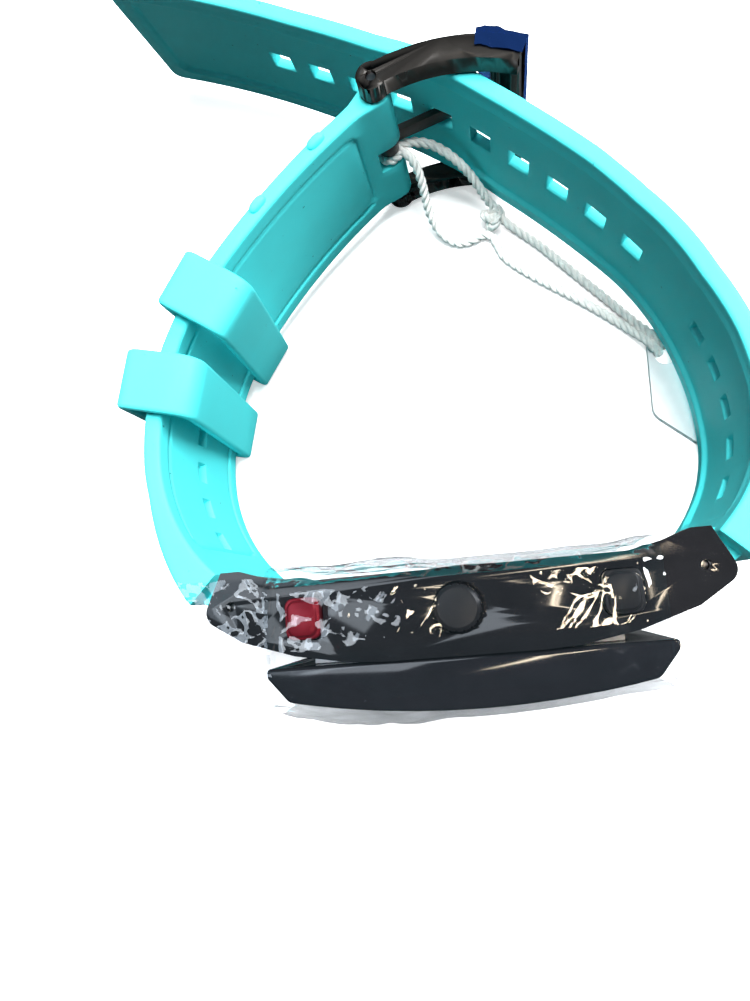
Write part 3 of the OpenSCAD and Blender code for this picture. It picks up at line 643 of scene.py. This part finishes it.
def keeper(name, angle, lift, h_far):
    """A loop round the strap: lift is how far it stands off, h_far its height at the far edge."""
    outer = SHORT_R + STRAP_T + KEEPER_GAP + lift + KEEPER_WALL
    w = KEEPER_WALL
    out = rounded([(outer - h_far, 0), (outer, 0), (outer, CASE_W), (outer - KEEPER_H, CASE_W)],
                  [1.6, 1.6, 1.6, 3.5], 8)
    inner = rounded([(outer - h_far + w, w), (outer - w, w), (outer - w, CASE_W - w),
                     (outer - KEEPER_H + w, CASE_W - w)], [0.6, 0.6, 0.6, 2.4], 8)
    # the long sides get points in between, as many on the inside as on the outside
    parts = [6 if np.linalg.norm(out[(i + 1) % len(out)] - p) > 1.5 else 1 for i, p in enumerate(out)]

    def dense(pts):
        return [p + (pts[(i + 1) % len(pts)] - p) * k / parts[i]
                for i, p in enumerate(pts) for k in range(parts[i])]

    out, inner = dense(out), dense(inner)
    half, r = KEEPER_LEN / 2, 0.5
    wall = []
    for cx, cy, a0 in ((r, half - r, 90), (r, -half + r, 180), (w - r, -half + r, 270),
                       (w - r, half - r, 0)):
        for a in np.radians(np.linspace(a0, a0 + 90, 5)):
            wall.append((cx + r * math.cos(a), cy + r * math.sin(a)))
    turn = math.radians(180 - angle)
    verts = []
    for i, (p, q) in enumerate(zip(out, inner)):
        for depth, along in wall:
            v = p + (q - p) * depth / w
            crown = 0.1 * (1 - (along / half) ** 2) * (1 - 2 * depth / w)
            x, z = v[0], v[1]
            x += crown if abs(v[1] - MID_Z) < 12 and depth < w / 2 and v[0] > outer - 3 else 0
            verts.append([KEEPER_C[0] + x * math.cos(turn) + along * math.sin(turn),
                          KEEPER_C[1] + x * math.sin(turn) - along * math.cos(turn), z])
    return new_object(name, verts, grid_faces(len(out), len(wall), wrap_rows=True, wrap_cols=True))


upper = keeper("upper_keeper_band", 35, 0, 5.1)
lower = keeper("lower_keeper_band", 14.4, 1.3, 6.7)


# ---------- clear film ----------

def facets(x, y, angle, cell, stretch, seed):
    """Height of a creased sheet: flat facets that meet in sharp straight ridges, from 0 to about 1."""
    a = math.radians(angle)
    along, across = x * math.cos(a) + y * math.sin(a), -x * math.sin(a) + y * math.cos(a)
    near, _ = noise.voronoi(Vector((along / cell / stretch, across / cell, seed)),
                            distance_metric="MANHATTAN")
    return min(1.2, near[0])


def crumple(x, y, cell, seed):
    """Crossing creases of two sizes."""
    return 0.6 * facets(x, y, 25, cell, 2.4, seed) + 0.4 * facets(x, y, -50, cell * 0.6, 2, seed + 5)


FILM_HALF = 19.3
GLASS_R, GLASS_LOW = 95, -12


def film_profile(x):
    """Film's run over the case at x, from the foot of the back round to the foot of the front."""
    front = GLASS_LOW + GLASS_R - math.sqrt((GLASS_R + 0.42) ** 2 - x * x)
    ease = smoothstep((abs(x) - 17) / 2.5)
    top = 30.75 - 1.2 * ease
    return [(2.8, 0.65), (2.8, 27.5), (2.4, 28.4), (0.9, top - 0.2), (-1.8, top), (-4.9, top - 0.05),
            (-9.8, 28.75),
            (front + 0.9, 28.45), (front + 0.05, 27.9), (front, 0.65)]


def make_film():
    cols, rows = 210, 190
    verts = []
    for i in range(rows):
        x = -FILM_HALF + 2 * FILM_HALF * i / (rows - 1)
        pts = np.array(film_profile(x))
        run = np.concatenate([[0], np.cumsum(np.linalg.norm(np.diff(pts, axis=0), axis=1))])
        # more columns where the film faces the camera
        share = np.concatenate([np.linspace(0, run[1] - 1, 45, endpoint=False),
                                np.linspace(run[1] - 1, run[8] + 1, 120, endpoint=False),
                                np.linspace(run[8] + 1, run[-1], 45)])
        y = np.interp(share, run, pts[:, 0])
        z = np.interp(share, run, pts[:, 1])
        for k in range(cols):
            j, m = max(k - 1, 0), min(k + 1, cols - 1)
            n = Vector((0, z[j] - z[m], y[m] - y[j]))
            n = -n.normalized() if n.length > 0 else Vector((0, 0, 1))
            # crumpled at both ends, nearly taut between them
            busy = 0.16 + 0.6 * smoothstep((-x - 1) / 6) + 0.35 * smoothstep((x - 14) / 4)
            fold = busy * (0.95 * crumple(x, share[k], 5.2, 3) + 0.3 * crumple(x, share[k], 2.2, 8))
            verts.append([x, y[k] + n[1] * fold, z[k] + n[2] * fold])
    return new_object("case_film_sheet", verts, grid_faces(rows, cols))


film = make_film()


def film_flap(name, side_a, side_b, z, seed, amp):
    """Loose end of film between two edge lines, crumpled."""
    rows, cols = 60, 44
    a = np.array([np.interp(np.linspace(0, 1, rows), np.linspace(0, 1, len(side_a)), [p[k] for p in side_a])
                  for k in range(2)]).T
    b = np.array([np.interp(np.linspace(0, 1, rows), np.linspace(0, 1, len(side_b)), [p[k] for p in side_b])
                  for k in range(2)]).T
    verts = []
    for i in range(rows):
        for k in range(cols):
            p = a[i] + (b[i] - a[i]) * k / (cols - 1)
            t = i / (rows - 1)
            edge = 0.35 * noise.noise(Vector((p[0] * 0.7, p[1] * 0.7, seed))) * t
            lift = crumple(p[0], p[1], 3.4, seed) * amp + crumple(p[0], p[1], 1.5, seed + 4) * 0.2
            verts.append([p[0] + edge, p[1] + edge * 0.6, z + lift - 0.5 * t * t])
    return new_object(name, verts, grid_faces(rows, cols))


flap_left = film_flap("film_end_left", [(-19.2, 2.5), (-23, 2.8), (-26.5, 2.7), (-30.8, 3.3)],
                      [(-19.2, -7.8), (-23, -6.2), (-26.4, -4.2), (-30.2, -1.6)], 28.4, 11, 0.75)
flap_right = film_flap("film_end_right", [(19.2, -4.7), (22, -3.8), (25, -2.9), (32.5, -3.4)],
                       [(19.2, -10.2), (22, -9.5), (26, -8.5), (32.8, -6.3)], 28.4, 21, 0.75)


def make_top_flap():
    rows, cols = 24, 26
    verts = []
    for i in range(rows):
        z = 23.2 + 5.1 * i / (rows - 1)
        for k in range(cols):
            x = -8.3 + 5 * k / (cols - 1)
            bulge = 0.85 * math.sin(math.pi * k / (cols - 1)) * (0.4 + 0.6 * i / (rows - 1))
            verts.append([x, 3.6 + bulge + 0.2 * crumple(x, z, 1.8, 5), z])
    return new_object("film_end_top", verts, grid_faces(rows, cols))


flap_top = make_top_flap()


# ---------- blue film on the buckle's crossbar ----------

ARCH_X, ARM_R, ARM_H = 3.9, 22, 2.9
ARCH = (ARCH_X, PIN[1] - math.sqrt(ARM_R ** 2 - (ARCH_X - PIN[0]) ** 2))
BUCKLE_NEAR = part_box("buckle_frame")[1][2] / MM


def make_blue_film():
    rows, cols = 46, 70
    crown_r = ARM_R + ARM_H / 2
    z0, bend = 15.8, BUCKLE_NEAR
    reach = (bend - z0) + 2.3
    verts = []
    for i in range(rows):
        a = math.radians(65.4 + 14.2 * i / (rows - 1))
        for k in range(cols):
            run = reach * k / (cols - 1)
            fold = crumple(run, i * 0.12, 2.4, 31)
            stand = 0.08 + 0.75 * fold * (0.35 + 0.65 * smoothstep((math.degrees(a) - 70) / 6))
            if run < bend - z0:
                r, z = crown_r + stand, z0 + run
            else:
                past = run - (bend - z0)
                r, z = crown_r + stand - past, bend + 0.06 + 0.28 * fold
            verts.append([ARCH[0] + r * math.cos(a), ARCH[1] + r * math.sin(a), z])
    return new_object("buckle_blue_film", verts, grid_faces(rows, cols))


blue = make_blue_film()


# ---------- materials ----------

def base_material(name):
    mat = bpy.data.materials.new(name)
    mat.use_nodes = True
    tree = mat.node_tree
    return mat, tree.nodes, tree.links, tree.nodes["Principled BSDF"]


def noise_node(nodes, links, scale, detail=4):
    coord = nodes.new("ShaderNodeTexCoord")
    tex = nodes.new("ShaderNodeTexNoise")
    tex.inputs["Scale"].default_value = scale
    tex.inputs["Detail"].default_value = detail
    links.new(coord.outputs["Object"], tex.inputs["Vector"])
    return tex


def surface(name, colour, rough, metal=0, grain=(2500, 0.15, 0.02), vary=(300, 0.12), coat=0, specular=0.5):
    """Moulded or machined surface: colour and roughness vary a little, and fine grain bumps it."""
    mat, nodes, links, bsdf = base_material(name)
    bsdf.inputs["Metallic"].default_value = metal
    bsdf.inputs["Coat Weight"].default_value = coat
    bsdf.inputs["Coat Roughness"].default_value = 0.08
    bsdf.inputs["Specular IOR Level"].default_value = specular
    tint = noise_node(nodes, links, vary[0])
    ramp = nodes.new("ShaderNodeValToRGB")
    ramp.color_ramp.elements[0].position = 0.3
    ramp.color_ramp.elements[1].position = 0.7
    ramp.color_ramp.elements[0].color = [c * (1 - vary[1]) for c in colour] + [1]
    ramp.color_ramp.elements[1].color = [min(1, c * (1 + vary[1])) for c in colour] + [1]
    links.new(tint.outputs["Fac"], ramp.inputs["Fac"])
    links.new(ramp.outputs["Color"], bsdf.inputs["Base Color"])
    gloss = nodes.new("ShaderNodeMapRange")
    gloss.inputs["To Min"].default_value = max(0.02, rough * 0.85)
    gloss.inputs["To Max"].default_value = min(1, rough * 1.15)
    links.new(tint.outputs["Fac"], gloss.inputs["Value"])
    links.new(gloss.outputs["Result"], bsdf.inputs["Roughness"])
    fine = noise_node(nodes, links, grain[0], 6)
    bump = nodes.new("ShaderNodeBump")
    bump.inputs["Strength"].default_value = grain[1]
    bump.inputs["Distance"].default_value = grain[2] * MM
    links.new(fine.outputs["Fac"], bump.inputs["Height"])
    links.new(bump.outputs["Normal"], bsdf.inputs["Normal"])
    return mat


def clear_sheet(name, tint, low, high, rough, haze, metal):
    """Thin clear film: see-through face on, mirror-like at a slant, with a faint haze."""
    mat, nodes, links, bsdf = base_material(name)
    bsdf.inputs["Base Color"].default_value = (*haze, 1)
    bsdf.inputs["Metallic"].default_value = metal
    bsdf.inputs["Specular IOR Level"].default_value = 1
    bsdf.inputs["Coat Weight"].default_value = 1
    bsdf.inputs["Coat Roughness"].default_value = rough
    grain = noise_node(nodes, links, 900, 5)
    mottle = nodes.new("ShaderNodeMapRange")
    mottle.inputs["To Min"].default_value = rough * 0.7
    mottle.inputs["To Max"].default_value = rough * 1.5
    links.new(grain.outputs["Fac"], mottle.inputs["Value"])
    links.new(mottle.outputs["Result"], bsdf.inputs["Roughness"])
    through = nodes.new("ShaderNodeBsdfTransparent")
    through.inputs["Color"].default_value = (*tint, 1)
    facing = nodes.new("ShaderNodeLayerWeight")
    facing.inputs["Blend"].default_value = 0.35
    share = nodes.new("ShaderNodeMapRange")
    share.inputs["To Min"].default_value = low
    share.inputs["To Max"].default_value = high
    links.new(facing.outputs["Facing"], share.inputs["Value"])
    mix = nodes.new("ShaderNodeMixShader")
    links.new(share.outputs["Result"], mix.inputs["Fac"])
    links.new(through.outputs["BSDF"], mix.inputs[1])
    links.new(bsdf.outputs["BSDF"], mix.inputs[2])
    links.new(mix.outputs["Shader"], nodes["Material Output"].inputs["Surface"])
    return mat


def silicone(name):
    """Satin turquoise silicone with a fine mould texture and a few dust specks."""
    mat = surface(name, (0.08, 0.74, 0.77), 0.5, grain=(4200, 0.22, 0.03), vary=(90, 0.04), specular=0.2)
    nodes, links = mat.node_tree.nodes, mat.node_tree.links
    bsdf = nodes["Principled BSDF"]
    bsdf.inputs["Subsurface Weight"].default_value = 0.06
    bsdf.inputs["Subsurface Radius"].default_value = (0.0006, 0.0012, 0.0012)
    ramp = bsdf.inputs["Base Color"].links[0].from_node
    dust = noise_node(nodes, links, 1300, 2)
    pick = nodes.new("ShaderNodeMapRange")
    pick.inputs["From Min"].default_value = 0.74
    pick.inputs["From Max"].default_value = 0.8
    links.new(dust.outputs["Fac"], pick.inputs["Value"])
    mix = nodes.new("ShaderNodeMix")
    mix.data_type = "RGBA"
    mix.inputs["B"].default_value = (0.02, 0.2, 0.22, 1)
    links.new(pick.outputs["Result"], mix.inputs["Factor"])
    links.new(ramp.outputs["Color"], mix.inputs["A"])
    links.new(mix.outputs["Result"], bsdf.inputs["Base Color"])
    return mat


def cotton(name):
    mat = surface(name, (0.88, 0.87, 0.84), 0.9, grain=(3800, 0.6, 0.12), vary=(900, 0.12), specular=0.2)
    mat.node_tree.nodes["Principled BSDF"].inputs["Sheen Weight"].default_value = 0.4
    return mat


MATERIALS = {
    "case_shell": surface("shell resin", (0.008, 0.008, 0.009), 0.07, grain=(3000, 0.03, 0.005), coat=0.5),
    "bezel_gloss": surface("bezel resin", (0.01, 0.01, 0.012), 0.08, grain=(3000, 0.04, 0.01), coat=0.8),
    "cover_glass": clear_sheet("cover glass", (0.35, 0.36, 0.38), 0.12, 0.9, 0.03, (0.02, 0.02, 0.025), 0),
    "display": surface("display", (0.005, 0.005, 0.008), 0.1, coat=0.4),
    "seal_rubber": surface("seal rubber", (0.02, 0.02, 0.02), 0.7),
    "alloy": surface("blasted alloy", (0.6, 0.6, 0.62), 0.45, 1, grain=(3500, 0.3, 0.03)),
    "circuit_board": surface("solder mask", (0.02, 0.14, 0.06), 0.4, vary=(1500, 0.3)),
    "chip_black": surface("chip epoxy", (0.02, 0.02, 0.02), 0.55),
    "steel": surface("steel", (0.62, 0.62, 0.64), 0.28, 1, grain=(5000, 0.15, 0.01)),
    "battery_wrap": surface("battery foil", (0.35, 0.42, 0.5), 0.35, 0.6),
    "brass_weight": surface("brass", (0.6, 0.45, 0.2), 0.3, 1),
    "flex_film": surface("flex circuit", (0.55, 0.25, 0.04), 0.35),
    "led_clear": surface("diode lens", (0.55, 0.7, 0.4), 0.15),
    "sensor_glass": surface("smoked window", (0.05, 0.01, 0.012), 0.06, coat=0.8),
    "gold_contact": surface("gold plate", (0.8, 0.6, 0.25), 0.22, 1),
    "red_cap": surface("red anodising", (0.17, 0.006, 0.014), 0.3, 0.6, grain=(4000, 0.2, 0.02)),
    "black_cap": surface("black anodising", (0.02, 0.02, 0.022), 0.3, 0.5, grain=(4000, 0.2, 0.02)),
    "white_plastic": surface("acetal", (0.85, 0.85, 0.83), 0.5),
    "silicone": silicone("turquoise silicone"),
    "buckle_black": surface("black plating", (0.03, 0.028, 0.026), 0.36, 0.5, grain=(2600, 0.12, 0.02)),
    "film_blue": clear_sheet("blue film", (0.03, 0.08, 0.3), 0.75, 1, 0.14, (0.008, 0.03, 0.13), 0.6),
    "film_clear": clear_sheet("clear film", (0.96, 0.98, 1), 0.1, 0.75, 0.05, (0.9, 0.93, 0.96), 1),
    "cotton": cotton("cotton string"),
    "card": surface("white card", (0.82, 0.83, 0.84), 0.7, grain=(1800, 0.3, 0.03), vary=(500, 0.03),
                    specular=0.3),
}


def dress(obj, slot):
    obj.data.materials.clear()
    obj.data.materials.append(MATERIALS[slot])


BEVELS = {"mid_case": 0.45, "bezel": 0.4, "back_cover": 0.25, "red_button": 0.25, "black_button": 0.25,
          "crown_knob": 0.12, "buckle_frame": 0.22, "buckle_tongue": 0.22, "buckle_pin": 0.1,
          "bar_tips": 0.08, "sensor_window": 0.1, "shield_can": 0.15, "battery": 0.2, "cover_glass": 0.1,
          "back_screws": 0.06, "charging_pins": 0.08}
for part in frame["record"]["subparts"]:
    node = frame["nodes"][part["node"]]
    dress(node, part["material_slot"])
    if part["node"] in BEVELS:
        weld = node.modifiers.new("weld", "WELD")
        weld.merge_threshold = 0.002 * MM
        flat = node.modifiers.new("flat", "DECIMATE")
        flat.decimate_type = "DISSOLVE"
        flat.angle_limit = math.radians(1.5)
        bevel = add_bevel(node, BEVELS[part["node"]], 3, 30)
        bevel.harden_normals = True
        node.data.polygons.foreach_set("use_smooth", [True] * len(node.data.polygons))


# ---------- which piece stands for what ----------

STANDS_FOR = [
    (tail, "root", "silicone", ["tail_strap"]),
    (short, "root", "silicone", ["buckle_strap"]),
    (upper, "keeper_upper", "silicone", ["keeper_upper"]),
    (lower, "keeper_lower", "silicone", ["keeper_lower"]),
    (film, "root", "film_clear", ["case_film"]),
    (flap_left, "root", "film_clear", ["film_flap_left"]),
    (flap_right, "root", "film_clear", ["film_flap_right"]),
    (flap_top, "root", "film_clear", ["film_flap_top"]),
    (blue, "buckle", "film_blue", ["buckle_film"]),
    (strand_a, "root", "cotton", ["string_a"]),
    (strand_b, "root", "cotton", ["string_b"]),
    (knot, "root", "cotton", ["string_knot"]),
    (string_turn, "root", "cotton", ["string_turns"]),
    (tag, "root", "card", ["hang_tag"]),
]
for piece, body, slot_name, nodes_hidden in STANDS_FOR:
    dress(piece, slot_name)
    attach(piece, body)
    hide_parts(*nodes_hidden)


# ---------- floor and light ----------

def floor_material():
    """Pale matt floor, which throws little light back up on the object."""
    mat = surface("floor", (0.93, 0.93, 0.93), 0.9, grain=(40, 0.05, 0.05), vary=(3, 0.01), specular=0.1)
    nodes, links = mat.node_tree.nodes, mat.node_tree.links
    glow = nodes.new("ShaderNodeEmission")
    glow.inputs["Strength"].default_value = 0.5
    lit = nodes.new("ShaderNodeAddShader")
    links.new(nodes["Principled BSDF"].outputs["BSDF"], lit.inputs[0])
    links.new(glow.outputs["Emission"], lit.inputs[1])
    dim = nodes.new("ShaderNodeBsdfDiffuse")
    dim.inputs["Color"].default_value = (0.09, 0.09, 0.09, 1)
    rays = nodes.new("ShaderNodeLightPath")
    mix = nodes.new("ShaderNodeMixShader")
    links.new(rays.outputs["Is Camera Ray"], mix.inputs["Fac"])
    links.new(dim.outputs["BSDF"], mix.inputs[1])
    links.new(lit.outputs["Shader"], mix.inputs[2])
    links.new(mix.outputs["Shader"], nodes["Material Output"].inputs["Surface"])
    return mat


def make_floor():
    size = 3000
    low = cad_box[0][2] / MM - 0.02
    corners = [(-size, -size, low), (size, -size, low), (size, size, low), (-size, size, low)]
    floor = new_object("floor", corners, [[0, 1, 2, 3]], smooth=False)
    floor.data.materials.append(floor_material())


make_floor()


def area_light(name, at, aim, size, energy, colour=(1, 1, 1), size_y=None, glossy_only=False):
    data = bpy.data.lights.new(name, "AREA")
    data.energy = energy
    data.color = colour
    data.size = size
    if size_y:
        data.shape = "RECTANGLE"
        data.size_y = size_y
    lamp = bpy.data.objects.new(name, data)
    bpy.context.scene.collection.objects.link(lamp)
    lamp.location = at
    lamp.rotation_euler = (Vector(aim) - Vector(at)).to_track_quat("-Z", "Y").to_euler()
    lamp.visible_camera = False
    if glossy_only:
        lamp.visible_diffuse = False
    return lamp


area_light("key", (0.06, 0.13, 0.52), (0, 0.03, 0), 0.26, 9).visible_glossy = False
area_light("side", (0.36, 0.16, 0.26), (-0.02, 0.03, 0.01), 0.2, 2.2)
CASE_LEFT = (-0.015, 0, 0.03)
area_light("panel", (-0.12, 0.0, 0.33), CASE_LEFT, 0.09, 0.12, (0.88, 0.94, 1), 0.12, glossy_only=True)
area_light("window", (-0.26, 0.06, 0.36), CASE_LEFT, 0.22, 0.3, (0.8, 0.9, 1), 0.2, glossy_only=True)
for k in range(6):
    area_light("strip_%d" % k, (0.045, -0.022 + 0.0085 * k, 0.30), (0.012, -0.002, 0.03), 0.05, 0.01,
               (1, 0.82, 0.6), 0.0025, glossy_only=True)

# the world lights dimly, but the camera sees it as a pale backdrop
world = bpy.data.worlds.new("studio")
bpy.context.scene.world = world
world.use_nodes = True
world_nodes, world_links = world.node_tree.nodes, world.node_tree.links
fill = world_nodes["Background"]
fill.inputs["Color"].default_value = (0.42, 0.84, 1.0, 1)
fill.inputs["Strength"].default_value = 0.05
backdrop = world_nodes.new("ShaderNodeBackground")
seen = world_nodes.new("ShaderNodeLightPath")
either = world_nodes.new("ShaderNodeMixShader")
world_links.new(seen.outputs["Is Camera Ray"], either.inputs["Fac"])
world_links.new(fill.outputs["Background"], either.inputs[1])
world_links.new(backdrop.outputs["Background"], either.inputs[2])
world_links.new(either.outputs["Shader"], world_nodes["World Output"].inputs["Surface"])
